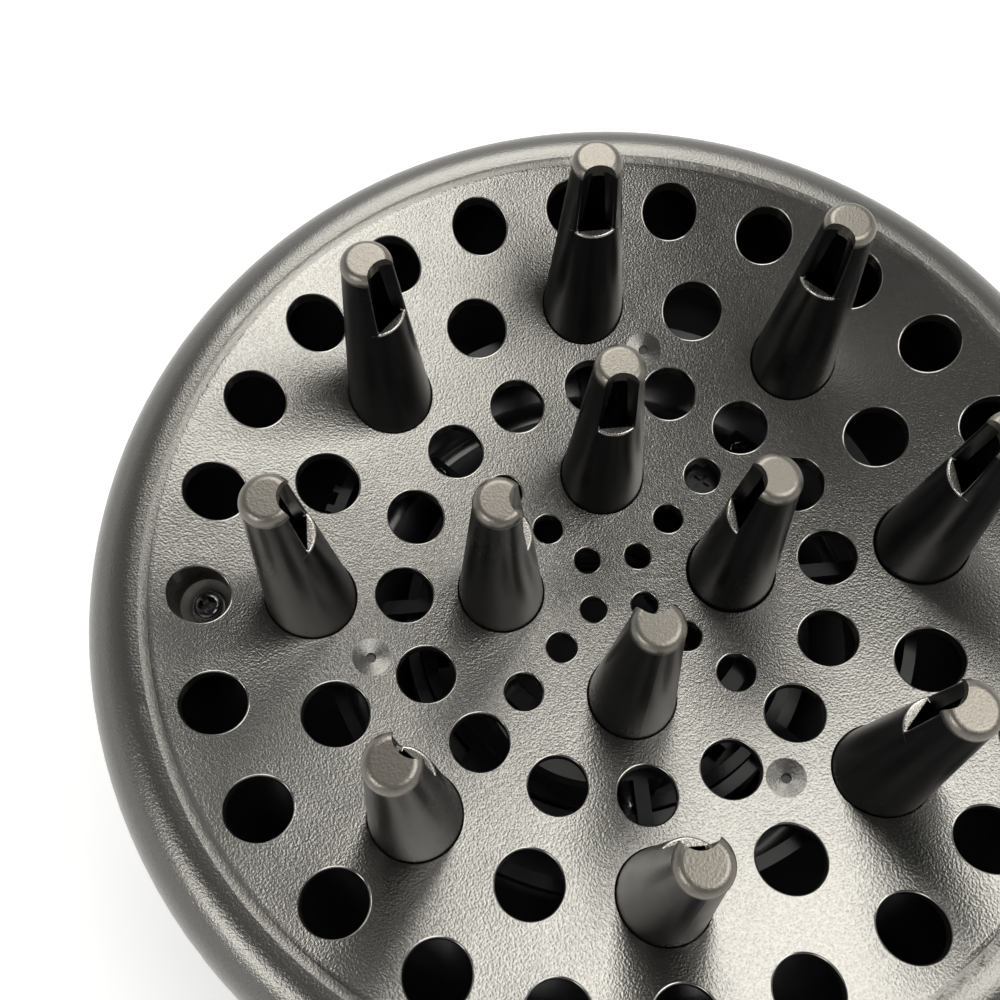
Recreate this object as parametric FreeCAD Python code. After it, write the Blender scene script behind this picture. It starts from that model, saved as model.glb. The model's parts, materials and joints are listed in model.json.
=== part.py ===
"""Dryer diffuser with twelve hollow fingers that a twist ring extends and retracts.

The dish faces up (+Z). The origin is the centre of the nozzle socket's mouth, on the flat
bottom of the collar. The fingers are modelled fully extended, and travel straight down.
"""
import FreeCAD, Part
import math
import os

V = FreeCAD.Vector
UP = V(0, 0, 1)
ORIGIN = V(0, 0, 0)

# Driving dimensions, in millimetres and degrees.

# Dish
dish_z = 74.0               # height of the dish's lowest point
dish_radius = 180.0         # spherical top face
plate_wall = 2.2
dish_edge_r = 75.0          # where the dish meets the rim bead
bead_foot_radius = 5.0      # hollow at the foot of the bead
bead_foot_slope = 34.0
bead_shoulder_radius = 3.5
bead_shoulder_slope = 10.0
bead_radius = 8.03
skirt_z = dish_z + 5.0      # lower edge of the face plate's skirt

# Air holes in the face plate: ring radius, hole radius, count, first angle
hole_rings = (
    (6.2, 2.2, 4, 45.0),
    (14.9, 2.5, 4, 45.0),
    (24.9, 3.1, 4, 45.0),
    (36.0, 4.7, 16, 0.0),
    (51.7, 5.2, 8, 22.5),
)
edge_ring_r = 68.2
edge_ring_count = 24
edge_hole_r = 4.9
hole_lip = 0.3              # rounding of the hole edges
passage_lip = 0.12          # rounding where the fingers pass

# Screw wells take two places of the edge ring
well_angles = (0.0, 180.0)
well_foot_r = 4.3
well_seat_r = 2.7           # a cone leads down to the screw's seat
well_cone_height = 1.7
well_floor_depth = 7.3      # floor below the dish face
well_floor_wall = 2.0
well_wall = 1.4

# Moulding gate marks: radius, angle
gate_marks = ((43.2, 194.1), (43.0, 76.4), (41.7, 301.6))
gate_r = 3.0
gate_depth = 0.4
gate_rise = 0.2             # the dimple's cutter stands this far above the face
gate_dot_r = 0.85

# Fingers: each ring has radius, count, height above the dish, and seat height
inner_ring_r = 19.8
outer_ring_r = 51.3
inner_count = 4
outer_count = 8
inner_height = 41.8
outer_height = 43.7
inner_seat_z = dish_z - 3.0
outer_seat_z = dish_z + 2.0
finger_root_r = 7.2         # at the dish face
finger_tip_r = 3.85         # under the cap
finger_wall = 2.05
finger_gap = 0.12           # round each finger where it passes the plate
cap_height = 1.6
cap_round = 1.4
cap_r = 3.95
cap_plug_length = 1.0
slot_r = 2.95               # round cutter of the air slot, parallel to the finger
slot_offset = 4.35
slot_length = 14.6
sill_width = 1.45           # ledge at the slot's foot, straight on its inner side
sill_outer_edge = 0.40
sill_inner_edge = 0.15
channel_width = 5.2         # flat-fronted part of the airway under the sill
channel_depth = 9.0

# Carrier
seat_r = 8.6
seat_thick = 2.4
stub_r = 5.5
stub_bore_r = 4.2
stub_height = 5.0
carrier_inner_ring_r = 25.2
carrier_inner_ring_wall = 3.0
carrier_outer_ring_r = 50.0
carrier_outer_ring_wall = 2.0
arm_width = 2.4
arm_top = inner_seat_z
arm_bottom = dish_z - 7.0
leg_in_r = 30.0
leg_out_r = 32.4
leg_width = 8.0
leg_below_pin = 3.0
peg_r = 2.6

# Lift mechanism
travel = 12.0
twist_angle = 50.0
pin_r = 1.9
pin_z = dish_z - 28.0       # extended
pin_end_r = 37.2
track_r = 2.1               # track ends
track_half_height = 2.25    # half of the track's height, measured along Z
guide_in_r = 33.0
guide_out_r = 35.0
guide_top = dish_z - 18.2
guide_slot_width = 4.2
spoke_width = 7.0
spoke_thick = 3.2
spoke_end_r = 45.5
spoke_screw_r = 41.6
sleeve_in_r = 35.3
sleeve_out_r = 37.5
sleeve_top = dish_z - 22.0
sleeve_bottom = 25.3
flange_r = 45.2
flange_thick = 3.0

# Rear housing
bell_r = 86.2
bell_wall = 2.2
bell_top = dish_z + 4.6
bell_arc = 36.0             # bowl's section radius
neck_out_r = 40.6
neck_bottom = 28.7
tongue_height = 3.4

# Twist ring and its grip
ring_out_r = 48.0
ring_in_r = 45.6
ring_web_r = 41.0
ring_top = 31.6
ring_bottom = 9.6
ring_web_thick = 3.2
grip_low = 12.5
grip_high = 27.0
grip_seat_r = 47.0
grip_out_r = 48.9
grip_rib_r = 0.9
grip_rib_count = 48

# Collar, socket and diverter
collar_r = 47.6
collar_top = 9.3
collar_floor = 2.4
collar_wall = 2.2
collar_edge = 1.2
socket_tube_r = 25.5
socket_tube_wall = 2.0
socket_tube_top = 20.0
funnel_top = 26.0
bearing_wall_r = 35.3
bearing_wall_top = 24.0
washer_thick = 1.0
liner_r = 24.0
liner_low = 0.2
liner_top = 18.6
liner_lip_r = 26.8
liner_lip = 1.1
groove_depth = 0.5
groove_width = 1.4
diverter_low = 21.0
diverter_top = 38.0
diverter_r = 12.0
diverter_wall = 1.6

# Screws: head radius, head height, shank radius, shank length
face_screw = (2.5, 1.8, 1.3, 9.0)
small_screw = (2.5, 1.7, 1.3, 8.0)
sleeve_screw = (2.0, 1.4, 1.0, 5.2)
screw_pitch_r = 30.4        # collar screws
screw_boss_r = 2.8
flange_screw_r = 43.2
flange_screw_angles = (30.0, 150.0, 270.0)
diagonals = (45.0, 135.0, 225.0, 315.0)
quarters = (0.0, 90.0, 180.0, 270.0)


# Small helpers

def polar(radius, angle, z=0.0):
    a = math.radians(angle)
    return V(radius * math.cos(a), radius * math.sin(a), z)


def disc(radius, low, high, at=None):
    shape = Part.makeCylinder(radius, high - low)
    shape.translate(V(0, 0, low) + (at or ORIGIN))
    return shape


def tube(inner, outer, low, high, at=None):
    return disc(outer, low, high, at).cut(disc(inner, low - 1, high + 1, at))


def ring(radius, wall, low, high):
    return tube(radius - wall / 2, radius + wall / 2, low, high)


def cone(low_r, high_r, low, high):
    shape = Part.makeCone(low_r, high_r, high - low)
    shape.translate(V(0, 0, low))
    return shape


def radial_box(r_in, r_out, width, low, high, angle):
    shape = Part.makeBox(r_out - r_in, width, high - low, V(r_in, -width / 2, low))
    return turned(shape, angle)


def turned(shape, angle):
    copy = shape.copy()
    copy.rotate(ORIGIN, UP, angle)
    return copy


def fuse(shapes):
    first, rest = shapes[0], shapes[1:]
    return first.multiFuse(rest).removeSplitter() if rest else first


def revolve(edges):
    return Part.Face(Part.Wire(Part.__sortEdges__(edges))).revolve(ORIGIN, UP, 360)


def line(a, b):
    return Part.LineSegment(V(a[0], 0, a[1]), V(b[0], 0, b[1])).toShape()


def arc(centre, radius, start, end):
    """Arc in the section plane; angles in degrees from the outward direction."""
    points = []
    for angle in (start, (start + end) / 2, end):
        a = math.radians(angle)
        points.append(V(centre[0] + radius * math.cos(a), 0, centre[1] + radius * math.sin(a)))
    return Part.Arc(*points).toShape()


def outline(points):
    closed = list(points) + [points[0]]
    return [line(a, b) for a, b in zip(closed, closed[1:])]


def dish_height(radius):
    """Height of the dish's top face at a radius from the axis."""
    return dish_z + dish_radius - math.sqrt(dish_radius ** 2 - radius ** 2)


def screw(size, at, turn=0.0, downwards=True):
    """Pan-head screw with a cross recess; the point given is under the head."""
    head_r, head_h, shank_r, shank_length = size
    head = disc(head_r, 0, head_h)
    rim = [e for e in head.Edges if abs(e.CenterOfMass.z - head_h) < 0.01]
    head = head.makeFillet(head_h * 0.55, rim)
    recess_floor = head_h * 0.4
    length, width = head_r * 1.24, head_r * 0.42
    slot = Part.makeBox(length, width, head_h, V(-length / 2, -width / 2, recess_floor))
    centre = cone(head_r * 0.3, head_r * 0.5, recess_floor, head_h)
    head = head.cut(slot).cut(turned(slot, 90)).cut(centre)
    point = cone(shank_r * 0.4, shank_r, -shank_length, -shank_length + 1.5)
    shape = fuse([head, disc(shank_r, -shank_length + 1.5, 0), point])
    shape = turned(shape, turn)
    if not downwards:
        shape.rotate(ORIGIN, V(1, 0, 0), 180)
    shape.translate(at)
    return shape


def save(node, shapes):
    solids = [s for shape in shapes for s in shape.Solids]
    shape = solids[0] if len(solids) == 1 else Part.makeCompound(solids)
    shape.exportStep(os.path.join("parts", node + ".step"))
    print(node, len(solids), "solid(s)", round(shape.Volume, 1), "mm3", shape.isValid())


# Fingers

def finger_radius(height, above):
    """Outer radius at a height above the dish, for a finger of the given height."""
    drop = (finger_root_r - finger_tip_r) / (above - cap_height)
    return finger_root_r - drop * height


def finger_cutter(tip_z):
    """Round cutter of the air slot, on the side of a finger that faces the dish's axis."""
    return disc(slot_r, tip_z - slot_length, tip_z + 5, V(-slot_offset, 0, 0))


def level_edges(shape, height):
    return [e for e in shape.Edges
            if abs(e.BoundBox.ZMax - height) < 0.01 and abs(e.BoundBox.ZMin - height) < 0.01]


def finger(ring_r, seat_z, above):
    face_z = dish_height(ring_r)
    neck_z = face_z + above - cap_height
    root_r = finger_radius(seat_z - face_z, above)
    body = cone(root_r, finger_tip_r, seat_z, neck_z)
    hollow = cone(root_r - finger_wall, finger_tip_r - finger_wall, seat_z, neck_z)
    socket = disc(stub_r + 0.05, seat_z, seat_z + stub_height + 0.5)
    sill_z = face_z + above - slot_length
    channel_r = finger_radius(above - slot_length, above) - sill_width
    channel = radial_box(0, channel_r, channel_width, sill_z - channel_depth, sill_z + 1.0, 180)
    shape = body.cut(fuse([hollow, channel])).cut(socket).cut(finger_cutter(face_z + above))
    front = [e for e in level_edges(shape, sill_z) if abs(e.CenterOfMass.x + channel_r) < 0.01]
    shape = shape.makeFillet(sill_inner_edge, front)
    outermost = min(level_edges(shape, sill_z), key=lambda e: e.CenterOfMass.x)
    shape = shape.makeFillet(sill_outer_edge, [outermost])
    shape.translate(V(ring_r, 0, 0))
    return shape


def tip_cap(ring_r, above):
    top = dish_height(ring_r) + above
    low = top - cap_height
    crown = disc(cap_r, low, top)
    rim = [e for e in crown.Edges if abs(e.CenterOfMass.z - top) < 0.01]
    crown = crown.makeFillet(cap_round, rim)
    plug = disc(finger_tip_r - finger_wall - 0.02, low - cap_plug_length, low)
    shape = fuse([crown, plug]).cut(finger_cutter(top))
    shape.translate(V(ring_r, 0, 0))
    return shape


def make_fingers():
    rings = (
        ("inner", inner_ring_r, inner_count, inner_seat_z, inner_height),
        ("outer", outer_ring_r, outer_count, outer_seat_z, outer_height),
    )
    for name, ring_r, count, seat_z, above in rings:
        body = finger(ring_r, seat_z, above)
        cap = tip_cap(ring_r, above)
        for i in range(count):
            angle = 360.0 * i / count
            save("finger_%s_%d" % (name, i + 1), [turned(body, angle)])
            save("tip_cap_%s_%d" % (name, i + 1), [turned(cap, angle)])


# Face plate

def bead_section():
    """Outer section of the rim bead, from the dish's edge to the skirt; returns edges and bead centre."""
    slope = math.degrees(math.asin(dish_edge_r / dish_radius))
    start = (dish_edge_r, dish_height(dish_edge_r))

    def step(point, radius, angle, sign):
        a = math.radians(angle)
        return (point[0] + sign * radius * math.sin(a), point[1] - sign * radius * math.cos(a))

    foot = step(start, bead_foot_radius, slope, -1)
    foot_end = step(foot, bead_foot_radius, bead_foot_slope, 1)
    shoulder = step(foot_end, bead_shoulder_radius, bead_foot_slope, 1)
    shoulder_end = step(shoulder, bead_shoulder_radius, bead_shoulder_slope, -1)
    bead = step(shoulder_end, bead_radius, bead_shoulder_slope, 1)
    edges = [
        arc((0, dish_z + dish_radius), dish_radius, -90, -90 + slope),
        arc(foot, bead_foot_radius, -90 + slope, -90 + bead_foot_slope),
        arc(shoulder, bead_shoulder_radius, 90 + bead_foot_slope, 90 + bead_shoulder_slope),
        arc(bead, bead_radius, 90 + bead_shoulder_slope, 0),
    ]
    return edges, bead


def plate_blank():
    edges, bead = bead_section()
    rim_r = bead[0] + bead_radius
    under_r = dish_radius + plate_wall
    inner_bead = bead_radius - plate_wall
    # where the underside of the dish meets the inside of the bead
    centre_gap = math.hypot(bead[0], dish_z + dish_radius - bead[1])
    swing = math.degrees(math.atan2(bead[1] - dish_z - dish_radius, bead[0]))
    cosine = (under_r ** 2 + centre_gap ** 2 - inner_bead ** 2) / (2 * under_r * centre_gap)
    meet = swing - math.degrees(math.acos(cosine))
    meet_r = under_r * math.cos(math.radians(meet))
    meet_z = dish_z + dish_radius + under_r * math.sin(math.radians(meet))
    meet_angle = math.degrees(math.atan2(meet_z - bead[1], meet_r - bead[0]))
    skirt_in_r = rim_r - plate_wall
    edges += [
        line((rim_r, bead[1]), (rim_r, skirt_z)),
        line((rim_r, skirt_z), (skirt_in_r, skirt_z)),
        line((skirt_in_r, skirt_z), (skirt_in_r, bead[1])),
        arc(bead, inner_bead, 0, meet_angle),
        arc((0, dish_z + dish_radius), under_r, meet, -90),
        line((0, dish_z - plate_wall), (0, dish_z)),
    ]
    return revolve(edges)


def make_face_plate():
    plate = plate_blank()
    well_low = dish_height(edge_ring_r) - well_floor_depth - well_floor_wall
    well_post = disc(edge_hole_r + well_wall, well_low, dish_height(edge_ring_r) + 5)
    above_dish = Part.makeSphere(dish_radius, V(0, 0, dish_z + dish_radius))
    posts = fuse([turned_at(well_post, edge_ring_r, a) for a in well_angles]).cut(above_dish)
    plate = fuse([plate, posts])
    low, high = dish_z - 10, dish_z + 40
    cutters = []
    for ring_r, hole_r, count, first in hole_rings:
        for i in range(count):
            cutters.append(disc(hole_r, low, high, polar(ring_r, first + 360.0 * i / count)))
    for i in range(edge_ring_count):
        angle = 360.0 * i / edge_ring_count
        if angle not in well_angles:
            cutters.append(disc(edge_hole_r, low, high, polar(edge_ring_r, angle)))
    floor_z = well_low + well_floor_wall
    wall_low = floor_z + well_cone_height
    well = fuse([
        cone(well_foot_r, edge_hole_r, wall_low, floor_z + well_floor_depth + 3),
        cone(well_seat_r, well_foot_r, floor_z, wall_low),
        disc(face_screw[2] + 0.2, well_low - 1, floor_z + 0.5),
    ])
    for angle in well_angles:
        cutters.append(turned_at(well, edge_ring_r, angle))
    for ring_r, count, above in ((inner_ring_r, inner_count, inner_height),
                                 (outer_ring_r, outer_count, outer_height)):
        face_z = dish_height(ring_r)
        reach = 9.0
        passage = cone(finger_radius(-reach, above) + finger_gap,
                       finger_radius(reach, above) + finger_gap, face_z - reach, face_z + reach)
        passage = passage.toNurbs()
        for i in range(count):
            cutters.append(turned_at(passage, ring_r, 360.0 * i / count))
    for ring_r, angle in gate_marks:
        dish_slope = math.degrees(math.asin(ring_r / dish_radius))
        low_r = 0.6 * gate_dot_r
        top_r = low_r + (gate_r - low_r) * (1 + gate_rise / gate_depth)
        dimple = fuse([
            cone(low_r, top_r, -gate_depth, gate_rise),
            disc(gate_dot_r, -gate_depth - 0.4, 0),
        ])
        dimple.rotate(ORIGIN, V(0, 1, 0), -dish_slope)
        dimple.translate(V(ring_r, 0, dish_height(ring_r)))
        cutters.append(turned(dimple, angle))
    plate = plate.cut(Part.makeCompound(cutters))
    lips = [e for e in plate.Edges if is_hole_lip(e)]
    plate = plate.makeFillet(hole_lip, [e for e in lips if not is_passage(e)])
    passages = [e for e in plate.Edges if is_hole_lip(e) and is_passage(e)]
    save("face_plate", [plate.makeFillet(passage_lip, passages)])


def is_hole_lip(edge):
    """True for an edge on the dish's top face that isn't centred on its axis."""
    centre = V(0, 0, dish_z + dish_radius)
    on_dish = all(abs(edge.valueAt(p).distanceToPoint(centre) - dish_radius) < 0.001
                  for p in edge.ParameterRange)
    middle = edge.BoundBox.Center
    return on_dish and math.hypot(middle.x, middle.y) > 1.0 and edge.Length > 6 * gate_dot_r


def is_passage(edge):
    """True for an edge round a finger."""
    middle = edge.BoundBox.Center
    radius = math.hypot(middle.x, middle.y)
    nearest = min(abs(radius - inner_ring_r), abs(radius - outer_ring_r))
    return edge.Length > 6 * finger_root_r and nearest < 1.0


def turned_at(shape, radius, angle):
    """A shape drawn on the Z axis, moved out to a radius and turned to an angle."""
    copy = shape.copy()
    copy.translate(V(radius, 0, 0))
    copy.rotate(ORIGIN, UP, angle)
    return copy


# Rear housing

def make_rear_housing():
    bowl = (bell_r - bell_arc, bell_top)
    bowl_in = bell_arc - bell_wall
    flare = bowl[0] - neck_out_r
    flare_z = bell_top - bell_arc - flare
    neck_in_r = neck_out_r - bell_wall
    inner_r = bell_r - bell_wall
    tongue_top = bell_top + tongue_height
    edges = [
        arc(bowl, bell_arc, 0, -90),
        arc((bowl[0], flare_z), flare, 90, 180),
        line((neck_out_r, flare_z), (neck_out_r, neck_bottom)),
        line((neck_out_r, neck_bottom), (neck_in_r, neck_bottom)),
        line((neck_in_r, neck_bottom), (neck_in_r, flare_z)),
        arc((bowl[0], flare_z), flare + bell_wall, 180, 90),
        arc(bowl, bowl_in, -90, 0),
        line((inner_r, bell_top), (bell_r, bell_top)),
    ]
    shell = revolve(edges)
    tongue = tube(inner_r - 2.0, inner_r - 0.15, bell_top - 4.0, tongue_top)
    land = tube(inner_r - 2.0, inner_r + 0.5, bell_top - 4.0, bell_top)
    bosses = []
    floor_face = dish_height(edge_ring_r) - well_floor_depth - well_floor_wall
    face_boss = disc(3.6, bell_top - bell_arc, floor_face)
    for angle in well_angles:
        bosses.append(turned_at(face_boss, edge_ring_r, angle))
        rib = radial_box(edge_ring_r + 2, bell_r - 8, 1.8, bell_top - 30, bell_top - 8, angle)
        bosses.append(rib)
    spoke_low = guide_top - spoke_thick
    frame_boss = disc(3.6, bell_top - bell_arc - 4, spoke_low)
    for angle in diagonals:
        bosses.append(turned_at(frame_boss, spoke_screw_r, angle))
    envelope = revolve([
        arc(bowl, bell_arc - 0.5, 0, -90),
        arc((bowl[0], flare_z), flare + 0.5, 90, 180),
        line((neck_out_r - 0.5, flare_z), (0, flare_z)),
        line((0, flare_z), (0, bell_top + 30)),
        line((0, bell_top + 30), (bell_r - 0.5, bell_top + 30)),
        line((bell_r - 0.5, bell_top + 30), (bell_r - 0.5, bell_top)),
    ])
    inside = fuse(bosses).common(envelope)
    shape = fuse([shell, land, tongue, inside])
    face_depth = face_screw[3] - well_floor_wall + 1.0
    face_pilot = disc(face_screw[2] + 0.01, floor_face - face_depth, floor_face + 1)
    frame_pilot = disc(small_screw[2] + 0.01, spoke_low - 6.5, spoke_low + 1)
    pilots = [turned_at(face_pilot, edge_ring_r, a) for a in well_angles]
    pilots += [turned_at(frame_pilot, spoke_screw_r, a) for a in diagonals]
    save("rear_housing", [shape.cut(Part.makeCompound(pilots))])


# Carrier, pins and guide

def make_carrier():
    shapes = [
        ring(carrier_inner_ring_r, carrier_inner_ring_wall, arm_bottom, arm_top),
        ring(carrier_outer_ring_r, carrier_outer_ring_wall, arm_bottom + 2.0,
             outer_seat_z - seat_thick + 1.0),
    ]
    bores = []
    for ring_r, count, seat_z in ((inner_ring_r, inner_count, inner_seat_z),
                                  (outer_ring_r, outer_count, outer_seat_z)):
        seat = disc(seat_r, seat_z - seat_thick, seat_z)
        stub = disc(stub_r, arm_bottom + 2.0, seat_z + stub_height)
        bore = disc(stub_bore_r, arm_bottom - 5, seat_z + stub_height + 1)
        for i in range(count):
            angle = 360.0 * i / count
            shapes += [turned_at(seat, ring_r, angle), turned_at(stub, ring_r, angle)]
            bores.append(turned_at(bore, ring_r, angle))
    for angle in quarters:
        shapes.append(radial_box(inner_ring_r, outer_ring_r, arm_width, arm_bottom, arm_top, angle))
        shapes.append(radial_box(leg_in_r, leg_out_r, leg_width, pin_z - leg_below_pin, arm_top, angle))
    # a round peg on the inner ring and two index lugs on the outer ring
    peg_top = arm_top + 1.2
    shapes.append(disc(peg_r, arm_bottom, peg_top, polar(carrier_inner_ring_r, diagonals[0])))
    for angle in (155.4, 159.6):
        shapes.append(radial_box(carrier_outer_ring_r, carrier_outer_ring_r + 2.2, 1.3,
                                 arm_top - 1.0, outer_seat_z - seat_thick + 1.0, angle))
    mark = radial_box(carrier_inner_ring_r - 1.6, carrier_inner_ring_r + 1.6, 0.7,
                      peg_top - 0.5, peg_top + 1, diagonals[0])
    centre = polar(carrier_inner_ring_r, diagonals[0])
    cross = mark.copy()
    cross.rotate(centre, UP, 90)
    pin_hole = Part.makeCylinder(pin_r, 10, V(leg_in_r - 2, 0, pin_z), V(1, 0, 0))
    cutters = bores + [mark, cross] + [turned(pin_hole, a) for a in quarters]
    save("finger_carrier", [fuse(shapes).cut(Part.makeCompound(cutters))])
    pin = Part.makeCylinder(pin_r, pin_end_r - leg_in_r, V(leg_in_r, 0, pin_z), V(1, 0, 0))
    end = [e for e in pin.Edges if abs(e.CenterOfMass.x - pin_end_r) < 0.01]
    pin = pin.makeChamfer(0.3, end)
    for i, angle in enumerate(quarters):
        save("follower_pin_%d" % (i + 1), [turned(pin, angle)])


def make_guide_frame():
    body = tube(guide_in_r, guide_out_r, collar_floor, guide_top)
    spoke_low = guide_top - spoke_thick
    boss_low, boss_top = collar_floor + 2.0, collar_floor + 13.0
    shapes = [body]
    cutters = []
    slot_low = pin_z - travel - guide_slot_width / 2
    for angle in quarters:
        cutters.append(radial_box(guide_in_r - 2, guide_out_r + 2, guide_slot_width,
                                  slot_low, guide_top + 5, angle))
    for angle in diagonals:
        shapes.append(radial_box(guide_in_r + 1, spoke_end_r, spoke_width, spoke_low, guide_top, angle))
        shapes.append(disc(screw_boss_r, boss_low, boss_top, polar(screw_pitch_r, angle)))
        cutters.append(disc(small_screw[2] + 0.2, spoke_low - 1, guide_top + 1,
                            polar(spoke_screw_r, angle)))
        cutters.append(disc(small_screw[2] + 0.01, boss_low - 3, boss_top - 2,
                            polar(screw_pitch_r, angle)))
    shape = fuse(shapes).cut(Part.makeCompound(cutters))
    save("guide_frame", [shape])


def make_cam_sleeve():
    body = tube(sleeve_in_r, sleeve_out_r, sleeve_bottom, sleeve_top)
    flange = tube(sleeve_in_r, flange_r, sleeve_bottom, sleeve_bottom + flange_thick)
    shape = turned(fuse([body, flange]), 20)
    path_r = (sleeve_in_r + sleeve_out_r) / 2
    pitch = travel * 360.0 / twist_angle
    helix = Part.makeHelix(pitch, travel, path_r)
    r0, r1, h = sleeve_in_r - 2, sleeve_out_r + 2, track_half_height
    profile = Part.makePolygon([V(r0, 0, -h), V(r1, 0, -h), V(r1, 0, h), V(r0, 0, h), V(r0, 0, -h)])
    track = Part.Wire(helix.Edges).makePipeShell([profile], True, True)
    low_end = Part.makeCylinder(track_r, r1 - r0, V(r0, 0, 0), V(1, 0, 0))
    high_end = turned(low_end, twist_angle)
    high_end.translate(V(0, 0, travel))
    for angle in quarters:
        for piece in (track, low_end, high_end):
            cutter = turned(piece, angle - twist_angle)
            cutter.translate(V(0, 0, pin_z - travel))
            shape = shape.cut(cutter)
    holes = [disc(sleeve_screw[2] + 0.15, sleeve_bottom - 1, sleeve_bottom + flange_thick + 1,
                  polar(flange_screw_r, a)) for a in flange_screw_angles]
    save("cam_sleeve", [shape.cut(Part.makeCompound(holes))])


# Twist ring

def make_twist_ring():
    web_low = ring_top - ring_web_thick
    edge = 1.0
    profile = outline([
        (ring_in_r, ring_bottom), (ring_out_r - edge, ring_bottom), (ring_out_r, ring_bottom + edge),
        (ring_out_r, grip_low), (grip_seat_r, grip_low), (grip_seat_r, grip_high),
        (ring_out_r, grip_high), (ring_out_r, ring_top - 2 * edge), (ring_out_r - 2 * edge, ring_top),
        (ring_web_r, ring_top), (ring_web_r, web_low), (ring_in_r, web_low),
    ])
    shape = revolve(profile)
    pilots = [disc(sleeve_screw[2] + 0.01, web_low - 1, web_low + 2.6, polar(flange_screw_r, a))
              for a in flange_screw_angles]
    save("twist_ring", [shape.cut(Part.makeCompound(pilots))])
    grip = tube(grip_seat_r, grip_out_r, grip_low, grip_high)
    rib = disc(grip_rib_r, grip_low + 1.2, grip_high - 1.2)
    ribs = [turned_at(rib, grip_out_r, 360.0 * i / grip_rib_count) for i in range(grip_rib_count)]
    save("twist_grip", [fuse([grip] + ribs)])


# Collar, liner, washer and diverter

def make_collar():
    tube_out_r = socket_tube_r + socket_tube_wall
    lip_r = liner_lip_r + 0.1
    lip_top = liner_low + liner_lip + 0.1
    profile = outline([
        (lip_r, 0), (collar_r - collar_edge, 0), (collar_r, collar_edge), (collar_r, collar_top),
        (collar_r - collar_wall, collar_top), (collar_r - collar_wall, collar_floor),
        (bearing_wall_r + 2.0, collar_floor), (bearing_wall_r + 2.0, bearing_wall_top),
        (bearing_wall_r, bearing_wall_top), (bearing_wall_r, collar_floor),
        (tube_out_r, collar_floor), (tube_out_r, socket_tube_top),
        (guide_in_r - 0.2, funnel_top - 1.0), (guide_in_r - 0.2, funnel_top),
        (guide_in_r - 2.2, funnel_top), (socket_tube_r, socket_tube_top),
        (socket_tube_r, lip_top), (lip_r, lip_top),
    ])
    pads = [disc(4.0, 0.2, collar_floor + 2.0, polar(screw_pitch_r, a)) for a in diagonals]
    keep = tube(tube_out_r - 0.5, guide_in_r - 0.1, 0, collar_floor + 2.0)
    shape = fuse([revolve(profile), fuse(pads).common(keep)])
    cutters = []
    for angle in diagonals:
        at = polar(screw_pitch_r, angle)
        cutters.append(disc(small_screw[2] + 0.2, -1, collar_floor + 3, at))
        cutters.append(disc(small_screw[0] + 0.3, -1, small_screw[1] + 0.3, at))
    save("nozzle_collar", [shape.cut(Part.makeCompound(cutters))])


def make_liner():
    shape = fuse([
        tube(liner_r, socket_tube_r - 0.05, liner_low, liner_top),
        tube(liner_r, liner_lip_r, liner_low, liner_low + liner_lip),
    ])
    grooves = [tube(liner_r - 1, liner_r + groove_depth, z, z + groove_width) for z in (5.0, 9.0, 13.0)]
    save("nozzle_liner", [shape.cut(Part.makeCompound(grooves))])


def make_washer():
    save("friction_washer", [tube(bearing_wall_r + 0.1, bearing_wall_r + 3.2,
                                  bearing_wall_top, bearing_wall_top + washer_thick)])


def make_diverter():
    outer = cone(0.8, diverter_r, diverter_low, diverter_top - 2.0)
    band = disc(diverter_r, diverter_top - 2.0, diverter_top)
    inner = cone(0.0, diverter_r - diverter_wall, diverter_low + 3.0, diverter_top - diverter_wall)
    ring = tube(guide_in_r - 4.0, guide_in_r - 0.3, funnel_top, funnel_top + 2.4)
    shapes = [fuse([outer, band]), ring]
    for angle in diagonals:
        shapes.append(radial_box(diverter_r - 6.0, guide_in_r - 2.0, diverter_wall,
                                 funnel_top, diverter_top - 3.0, angle))
    save("air_diverter", [fuse(shapes).cut(inner)])


# Screws

def make_screws():
    floor_z = dish_height(edge_ring_r) - well_floor_depth
    save("face_screws", [screw(face_screw, polar(edge_ring_r, a, floor_z), 20.0) for a in well_angles])
    save("frame_screws", [screw(small_screw, polar(spoke_screw_r, a, guide_top), a)
                          for a in diagonals])
    save("collar_screws", [screw(small_screw, polar(screw_pitch_r, a, small_screw[1] + 0.3), a, False)
                           for a in diagonals])
    save("sleeve_screws", [screw(sleeve_screw, polar(flange_screw_r, a, sleeve_bottom), a, False)
                           for a in flange_screw_angles])


os.makedirs("parts", exist_ok=True)
make_fingers()
make_face_plate()
make_rear_housing()
make_carrier()
make_guide_frame()
make_cam_sleeve()
make_twist_ring()
make_collar()
make_liner()
make_washer()
make_diverter()
make_screws()
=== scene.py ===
"""Looks for the dryer diffuser: materials, soft studio light and the camera.

Everything is in metres in the CAD frame: +Z out of the dish, origin on the collar's flat bottom.
All pieces are CAD nodes, so they move with their own bodies.
"""

import json
import math

import bpy
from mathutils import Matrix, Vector

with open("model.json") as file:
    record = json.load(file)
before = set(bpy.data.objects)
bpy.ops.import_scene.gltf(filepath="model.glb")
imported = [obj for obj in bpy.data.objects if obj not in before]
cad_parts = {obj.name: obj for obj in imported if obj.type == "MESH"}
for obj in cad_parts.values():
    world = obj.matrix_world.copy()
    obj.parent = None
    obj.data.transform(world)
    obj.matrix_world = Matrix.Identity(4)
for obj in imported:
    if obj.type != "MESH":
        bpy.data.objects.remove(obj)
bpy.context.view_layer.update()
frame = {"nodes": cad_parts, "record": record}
nodes = frame["nodes"]

MM = 0.001

# Camera: above the dish and a little in front, close enough for strong perspective
CAMERA_PLACE = (-0.02497, -0.06657, 0.28519)
CAMERA_TURN = (26.096, 0.271, -5.186)       # degrees, XYZ Euler
CAMERA_LENS = 46.15                         # mm
CAMERA_SENSOR = 36.0                        # mm
CAMERA_SHIFT = (0.0, -0.10)

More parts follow.
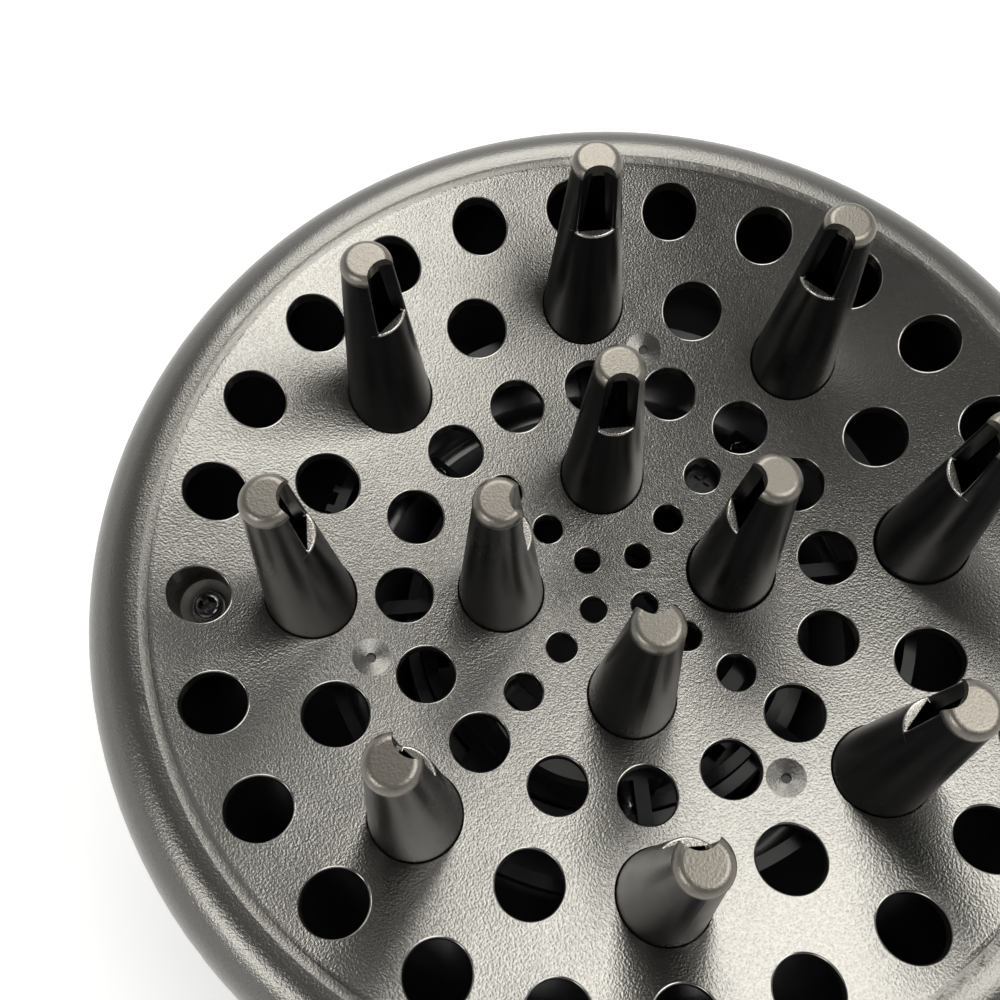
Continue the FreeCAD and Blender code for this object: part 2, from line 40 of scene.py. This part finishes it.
# Softboxes: direction from the object, distance, width and height (m), power (W)
SOFTBOXES = {
    "softbox_right": ((0.43, -0.075, 0.90), 0.75, 0.46, 0.42, 2.85),
    "softbox_back": ((0.02, 0.66, 0.75), 0.80, 0.44, 0.48, 3.2),
    "softbox_front_left": ((-0.62, -0.36, 0.70), 0.80, 0.30, 0.26, 1.5),
}
SOFTBOX_TINT = (1.0, 0.985, 0.955)
OBJECT_CENTRE = Vector((0.0, 0.0, 0.080))

# The room is pale low down, dimmer above and dark overhead. The pairs are sines of the elevation
# between which each change happens.
ROOM_HORIZON = (0.95, 0.95, 0.95)
ROOM_SIDES, SIDES_FROM = (0.36, 0.36, 0.363), (0.25, 0.50)
ROOM_OVERHEAD, OVERHEAD_FROM = (0.085, 0.085, 0.086), (0.55, 0.93)

FLOOR_SIZE = 6.0
FLOOR_DARK, FLOOR_LIGHT = (0.85, 0.85, 0.845), (0.875, 0.875, 0.87)
FLOOR_GLOW = 0.35                           # a lit sweep: keeps the floor pale on the far side
FLOOR_SHADE = (0.030, 0.080)                # painted shadow under the part: the glow fades out between these distances

# Places on the part that have a finish of their own, or painted light or shade
DISH_LOW, DISH_RADIUS = 0.074, 0.180        # lowest point and radius of the spherical dish face
DISH_CENTRE = Vector((0.0, 0.0, DISH_LOW + DISH_RADIUS))
RIM_FOOT = 0.0757                           # outside this radius is the rolled rim
LIP_TOP, LIP_DEPTH = -0.00002, 0.00032      # depth range of the rounded hole edges
LIP_TILT = (8, 86)                          # and their slope, in degrees from the dish face
GATE_MARKS = ((0.0432, 194.1), (0.0430, 76.4), (0.0417, 301.6))     # radius, angle in degrees
GATE_REACH, GATE_TILT = 0.0034, 4           # just round a mark's dimple, and its least slope
GATE_DOT, GATE_DOT_DEPTH = 0.00088, 0.00045     # just round the dot in its middle
WELL_PLACE = Vector((0.0682, 0.0))          # a screw well, and its mirror image on the other side
WELL_FOOT, WELL_CONE_TOP = 0.0044, 0.08186  # just round the cone that leads down to the screw's seat
BOWL_ARC = (0.0502, 0.0786)                 # centre of the bowl's section, radius and height
BOWL_SKIN, BOWL_FOOT = 0.0350, 0.044        # nearer than this to the centre is inside the bowl
SILL_DROP = 0.0130                          # a slot's sill, below the top of the finger's neck
SILL_FROM, SILL_TO = -0.0009, 0.0001        # height range of its faces about that level
SILL_UPWARD = 0.12                          # their least upward normal
SHARP_ANGLE = 32                            # degrees: sharper edges stay unsmoothed

NOISE_RANGE = (0.30, 0.70)                  # nearly all of a noise layer's values lie in here


# Node helpers

class Paint:
    """A Principled material whose colour, roughness and bump come from procedural layers."""

    def __init__(self, name, colour, roughness, metallic=0.0, specular=0.5):
        self.material = bpy.data.materials.new(name)
        self.material.use_nodes = True
        self.tree = self.material.node_tree
        self.shader = self.tree.nodes["Principled BSDF"]
        self.coordinates = self.add("ShaderNodeTexCoord").outputs["Object"]
        self.set("Base Color", (*colour, 1.0))
        self.set("Roughness", roughness)
        self.set("Metallic", metallic)
        self.set("Specular IOR Level", specular)

    def add(self, kind, **values):
        node = self.tree.nodes.new(kind)
        for key, value in values.items():
            setattr(node, key, value)
        return node

    def set(self, socket, value):
        self.shader.inputs[socket].default_value = value

    def link(self, source, target):
        self.tree.links.new(source, target)

    def noise(self, size_mm, detail=2.0, roughness=0.5, stretch=None):
        """Fractal noise whose features are about size_mm across."""
        source = self.coordinates
        if stretch:
            mapping = self.add("ShaderNodeMapping")
            mapping.inputs["Scale"].default_value = stretch
            self.link(source, mapping.inputs["Vector"])
            source = mapping.outputs["Vector"]
        node = self.add("ShaderNodeTexNoise")
        node.inputs["Scale"].default_value = 1.0 / (size_mm * MM)
        node.inputs["Detail"].default_value = detail
        node.inputs["Roughness"].default_value = roughness
        self.link(source, node.inputs["Vector"])
        return node.outputs["Fac"]

    def cells(self, size_mm):
        """Distance to the nearest of scattered points about size_mm apart."""
        node = self.add("ShaderNodeTexVoronoi", feature="F1")
        node.inputs["Scale"].default_value = 1.0 / (size_mm * MM)
        self.link(self.coordinates, node.inputs["Vector"])
        return node.outputs["Distance"]

    def remap(self, source, low, high, out_low, out_high):
        """Moves a layer's range low..high to out_low..out_high, easing at both ends."""
        node = self.add("ShaderNodeMapRange", interpolation_type="SMOOTHSTEP")
        self.link(source, node.inputs["Value"])
        ends = {"From Min": low, "From Max": high, "To Min": out_low, "To Max": out_high}
        for socket, value in ends.items():
            node.inputs[socket].default_value = value
        return node.outputs["Result"]

    def blend(self, first, second, share):
        """The sum of two layers, with the given share of the second."""
        parts = []
        for layer, weight in ((first, 1.0 - share), (second, share)):
            node = self.add("ShaderNodeMath", operation="MULTIPLY")
            self.link(layer, node.inputs[0])
            node.inputs[1].default_value = weight
            parts.append(node.outputs[0])
        total = self.add("ShaderNodeMath", operation="ADD")
        for part, socket in zip(parts, total.inputs):
            self.link(part, socket)
        return total.outputs[0]

    def shade_colour(self, factor, dark, light):
        """The base colour runs from dark to light (RGB triples) as factor goes from 0 to 1."""
        node = self.add("ShaderNodeMix", data_type="RGBA")
        self.link(factor, node.inputs["Factor"])
        node.inputs["A"].default_value = (*dark, 1.0)
        node.inputs["B"].default_value = (*light, 1.0)
        self.link(node.outputs["Result"], self.shader.inputs["Base Color"])

    def vary_roughness(self, factor):
        self.link(factor, self.shader.inputs["Roughness"])

    def bump(self, height, depth_mm):
        node = self.add("ShaderNodeBump")
        node.inputs["Strength"].default_value = 1.0
        node.inputs["Distance"].default_value = depth_mm * MM
        self.link(height, node.inputs["Height"])
        self.link(node.outputs["Normal"], self.shader.inputs["Normal"])


def scaled(colour, factor, lift=0.0):
    """The colour lifted towards white, then made lighter or darker by the factor."""
    return tuple(min(1.0, (c + lift) * factor) for c in colour)


# Finishes

def grained_plastic(name, colour, roughness, metallic, grain_mm, depth_mm):
    """Moulded plastic with a spark-eroded grain: shallow irregular pits, with peaks worn brighter."""
    pit_share, cloud_share, cloud_mm, roughness_swing = 0.20, 0.40, 22.0, 0.025
    paint = Paint(name, colour, roughness, metallic)
    coarse = paint.noise(grain_mm, detail=1.0)
    pits = paint.remap(paint.cells(grain_mm * 1.15), 0.15, 0.75, 0.32, 0.68)
    height = paint.blend(coarse, pits, pit_share)
    worn = paint.remap(height, *NOISE_RANGE, 0.0, 1.0)
    tone = paint.blend(worn, paint.noise(cloud_mm), cloud_share)
    paint.shade_colour(tone, scaled(colour, 0.90), scaled(colour, 1.10))
    in_pits, on_peaks = roughness + roughness_swing, roughness - roughness_swing
    paint.vary_roughness(paint.remap(height, *NOISE_RANGE, in_pits, on_peaks))
    paint.bump(height, depth_mm)
    return paint


def smooth_plastic(name, colour, roughness, specular=0.5):
    """Polished or satin moulded plastic: slight waviness, faint smears and a few dust specks."""
    paint = Paint(name, colour, roughness, 0.0, specular)
    smear = paint.noise(9.0, detail=3.0, roughness=0.6, stretch=(1, 1, 0.35))
    specks = paint.remap(paint.cells(2.6), 0.0, 0.035, 1.0, 0.0)
    paint.shade_colour(specks, colour, scaled(colour, 1.0, lift=0.05))
    paint.vary_roughness(paint.remap(smear, 0.25, 0.75, roughness - 0.03, roughness + 0.04))
    paint.bump(paint.noise(0.30, detail=1.0), 0.003)
    return paint


def rubber(name, colour, roughness):
    """Matt moulded rubber: fine powdery surface with rubbed patches."""
    paint = Paint(name, colour, roughness, 0.0, 0.35)
    rub = paint.noise(6.0, detail=4.0, roughness=0.62)
    rubbed = paint.remap(rub, 0.35, 0.70, 0.0, 1.0)
    paint.shade_colour(rubbed, colour, scaled(colour, 1.25, lift=0.012))
    paint.vary_roughness(paint.remap(rub, *NOISE_RANGE, roughness + 0.06, roughness - 0.12))
    paint.bump(paint.noise(0.22), 0.02)
    return paint


def steel(name, colour, roughness):
    """Turned steel: fine marks round an upright axis, and slight tarnish."""
    paint = Paint(name, colour, roughness, 1.0)
    tarnish = paint.noise(1.4, detail=3.0)
    paint.shade_colour(tarnish, scaled(colour, 0.75), scaled(colour, 1.25))
    paint.vary_roughness(paint.remap(tarnish, *NOISE_RANGE, roughness - 0.08, roughness + 0.12))
    paint.bump(paint.noise(0.18, stretch=(1, 1, 4)), 0.006)
    return paint


GUNMETAL = (0.205, 0.2005, 0.187)

# One finish for each material slot of the record
paints = {
    "plate": grained_plastic("gunmetal_grain", GUNMETAL, 0.240, 0.96, 0.36, 0.050),
    "tip_cap": grained_plastic("cap_grain", (0.200, 0.186, 0.162), 0.36, 0.92, 0.34, 0.034),
    "housing": grained_plastic("housing_grain", (0.030, 0.030, 0.033), 0.48, 0.0, 0.55, 0.05),
    "ring": grained_plastic("ring_grain", GUNMETAL, 0.30, 0.92, 0.40, 0.03),
    "collar": grained_plastic("collar_grain", (0.028, 0.028, 0.031), 0.45, 0.0, 0.55, 0.05),
    "carrier": smooth_plastic("carrier_plastic", (0.008, 0.008, 0.0085), 0.24, 0.22),
    "guide": smooth_plastic("guide_plastic", (0.005, 0.005, 0.0055), 0.26, 0.25),
    "diverter": smooth_plastic("diverter_plastic", (0.010, 0.010, 0.011), 0.30),
    "cam": smooth_plastic("cam_plastic", (0.035, 0.035, 0.036), 0.30),
    "washer": smooth_plastic("washer_plastic", (0.70, 0.69, 0.64), 0.50),
    "finger": smooth_plastic("finger_black", (0.004, 0.004, 0.0045), 0.29, 0.31),
    "grip": rubber("grip_rubber", (0.018, 0.018, 0.019), 0.72),
    "liner": rubber("liner_rubber", (0.022, 0.022, 0.023), 0.66),
    "screw": steel("screw_black", (0.12, 0.12, 0.12), 0.14),
    "pin": steel("pin_steel", (0.55, 0.55, 0.56), 0.22),
}

# Finishes for places within a piece, some of them with painted light or shade
# the rolled rim: a rougher grain, and a darker copy of the gunmetal as painted shade that tones down
# its highlight
rim_grain_shaded = grained_plastic("rim_grain_shaded", (0.175, 0.171, 0.159), 0.30, 0.96, 0.36, 0.060)
# the rounded hole edges: a lighter, glossier copy of the gunmetal as a painted highlight
lip_highlight = grained_plastic("lip_highlight", (0.27, 0.265, 0.25), 0.20, 0.96, 0.60, 0.008)
# the gate dimples: a darker copy of the gunmetal as painted shade, with a shallower grain
shaded_dimple = grained_plastic("shaded_dimple", (0.145, 0.142, 0.132), 0.28, 0.94, 0.40, 0.030)
# the dot in the middle of each gate mark: near-black and not metallic
dark_gate_dot = grained_plastic("dark_gate_dot", (0.035, 0.035, 0.035), 0.50, 0.0, 0.40, 0.02)
# the cone round each screw seat: a lighter copy of the gunmetal as painted light, in place of its
# reflection of the softbox
lit_well_seat = grained_plastic("lit_well_seat", (0.30, 0.295, 0.28), 0.42, 0.85, 0.50, 0.015)
glossy_inside = smooth_plastic("glossy_inside", (0.012, 0.012, 0.013), 0.16)
# the slot sills: metallic, and much lighter than the gunmetal as a painted highlight on the rounded
# sill
sill_plating_highlight = grained_plastic("sill_plating_highlight", (0.38, 0.365, 0.335), 0.28, 0.95, 0.34, 0.040)


def dress_nodes():
    """Gives each CAD node its slot's finish, and smooth shading except across sharp edges."""
    slots = {s["node"]: s["material_slot"] for s in frame["record"]["subparts"]}
    for name, node in nodes.items():
        node.data.materials.clear()
        node.data.materials.append(paints[slots[name]].material)
        node.data.shade_smooth()
        node.data.set_sharp_from_angle(angle=math.radians(SHARP_ANGLE))


# Tests for the places within a piece

def dish_depth(face):
    """How far a face's middle lies below the spherical dish face."""
    return (face.center - DISH_CENTRE).length - DISH_RADIUS


def dish_tilt(face):
    """Angle between a face and the dish face over it, in degrees."""
    return math.degrees(face.normal.angle(DISH_CENTRE - face.center))


def at_angle(radius, degrees):
    turn = math.radians(degrees)
    return Vector((radius * math.cos(turn), radius * math.sin(turn)))


gates = [at_angle(radius, degrees) for radius, degrees in GATE_MARKS]


def near_gate(face, reach):
    return any((face.center.xy - gate).length < reach for gate in gates)


def on_rim(face):
    return face.center.xy.length > RIM_FOOT


def on_lip(face):
    rounded = LIP_TOP < dish_depth(face) < LIP_DEPTH and LIP_TILT[0] < dish_tilt(face) < LIP_TILT[1]
    return rounded and not on_rim(face)


def in_dimple(face):
    return near_gate(face, GATE_REACH) and dish_tilt(face) > GATE_TILT


def in_gate_dot(face):
    return near_gate(face, GATE_DOT) and dish_depth(face) > GATE_DOT_DEPTH


def in_well_cone(face):
    from_axis = Vector((abs(face.center.x), face.center.y)) - WELL_PLACE
    return from_axis.length < WELL_FOOT and face.center.z < WELL_CONE_TOP


def inside_bowl(face):
    from_arc = math.hypot(face.center.xy.length - BOWL_ARC[0], face.center.z - BOWL_ARC[1])
    return face.center.z > BOWL_FOOT and from_arc < BOWL_SKIN


def on_sill(finger):
    """A test for the sill at the foot of this finger's slot."""
    sill = max(corner[2] for corner in finger.bound_box) - SILL_DROP
    low, high = sill + SILL_FROM, sill + SILL_TO
    return lambda face: low < face.center.z < high and face.normal.z > SILL_UPWARD


def paint_faces(node, paint, chosen):
    """Gives the faces of a node that pass a test a second finish."""
    node.data.materials.append(paint.material)
    last = len(node.data.materials) - 1
    for face in node.data.polygons:
        if chosen(face):
            face.material_index = last


def finish_places():
    plate = nodes["face_plate"]
    paint_faces(plate, rim_grain_shaded, on_rim)
    paint_faces(plate, lip_highlight, on_lip)
    paint_faces(plate, shaded_dimple, in_dimple)
    paint_faces(plate, dark_gate_dot, in_gate_dot)
    paint_faces(plate, lit_well_seat, in_well_cone)
    paint_faces(nodes["rear_housing"], glossy_inside, inside_bowl)
    for name, node in nodes.items():
        if name.startswith(("finger_inner", "finger_outer")):
            paint_faces(node, sill_plating_highlight, on_sill(node))


# Studio

def make_floor():
    bpy.ops.mesh.primitive_plane_add(size=FLOOR_SIZE)
    floor = bpy.context.object
    floor.name = "floor"
    paint = Paint("floor_paper", FLOOR_LIGHT, 0.9, 0.0, 0.2)
    paint.shade_colour(paint.noise(120.0), FLOOR_DARK, FLOOR_LIGHT)
    paint.set("Emission Color", (1.0, 1.0, 0.995, 1.0))
    # painted shadow: the floor's glow fades out under the part
    from_axis = paint.add("ShaderNodeVectorMath", operation="LENGTH")
    paint.link(paint.coordinates, from_axis.inputs[0])
    glow = paint.remap(from_axis.outputs["Value"], *FLOOR_SHADE, 0.0, FLOOR_GLOW)
    paint.link(glow, paint.shader.inputs["Emission Strength"])
    floor.data.materials.append(paint.material)


def make_lights():
    for name, (direction, distance, width, height, power) in SOFTBOXES.items():
        data = bpy.data.lights.new(name, "AREA")
        data.shape = "RECTANGLE"
        data.size, data.size_y = width, height
        data.energy = power
        data.color = SOFTBOX_TINT
        lamp = bpy.data.objects.new(name, data)
        bpy.context.scene.collection.objects.link(lamp)
        away = Vector(direction).normalized()
        lamp.location = OBJECT_CENTRE + away * distance
        lamp.rotation_euler = away.to_track_quat("Z", "Y").to_euler()


def make_room():
    world = bpy.data.worlds.new("room")
    world.use_nodes = True
    tree = world.node_tree
    direction = tree.nodes.new("ShaderNodeTexCoord")
    split = tree.nodes.new("ShaderNodeSeparateXYZ")
    tree.links.new(direction.outputs["Generated"], split.inputs["Vector"])
    mixes = []
    for colour, (low, high) in ((ROOM_SIDES, SIDES_FROM), (ROOM_OVERHEAD, OVERHEAD_FROM)):
        height = tree.nodes.new("ShaderNodeMapRange")
        height.interpolation_type = "SMOOTHSTEP"
        height.inputs["From Min"].default_value = low
        height.inputs["From Max"].default_value = high
        tree.links.new(split.outputs["Z"], height.inputs["Value"])
        mix = tree.nodes.new("ShaderNodeMix")
        mix.data_type = "RGBA"
        mix.inputs["B"].default_value = (*colour, 1.0)
        tree.links.new(height.outputs["Result"], mix.inputs["Factor"])
        mixes.append(mix)
    walls, ceiling = mixes
    walls.inputs["A"].default_value = (*ROOM_HORIZON, 1.0)
    tree.links.new(walls.outputs["Result"], ceiling.inputs["A"])
    tree.links.new(ceiling.outputs["Result"], tree.nodes["Background"].inputs["Color"])
    bpy.context.scene.world = world


def make_camera():
    data = bpy.data.cameras.new("camera")
    data.lens = CAMERA_LENS
    data.sensor_width = CAMERA_SENSOR
    data.shift_x, data.shift_y = CAMERA_SHIFT
    data.clip_start, data.clip_end = 0.005, 20.0
    camera = bpy.data.objects.new("camera", data)
    bpy.context.scene.collection.objects.link(camera)
    camera.location = CAMERA_PLACE
    camera.rotation_euler = [math.radians(a) for a in CAMERA_TURN]
    bpy.context.scene.camera = camera


dress_nodes()
finish_places()
make_floor()
make_lights()
make_room()
make_camera()
bpy.context.scene.view_settings.view_transform = "Standard"
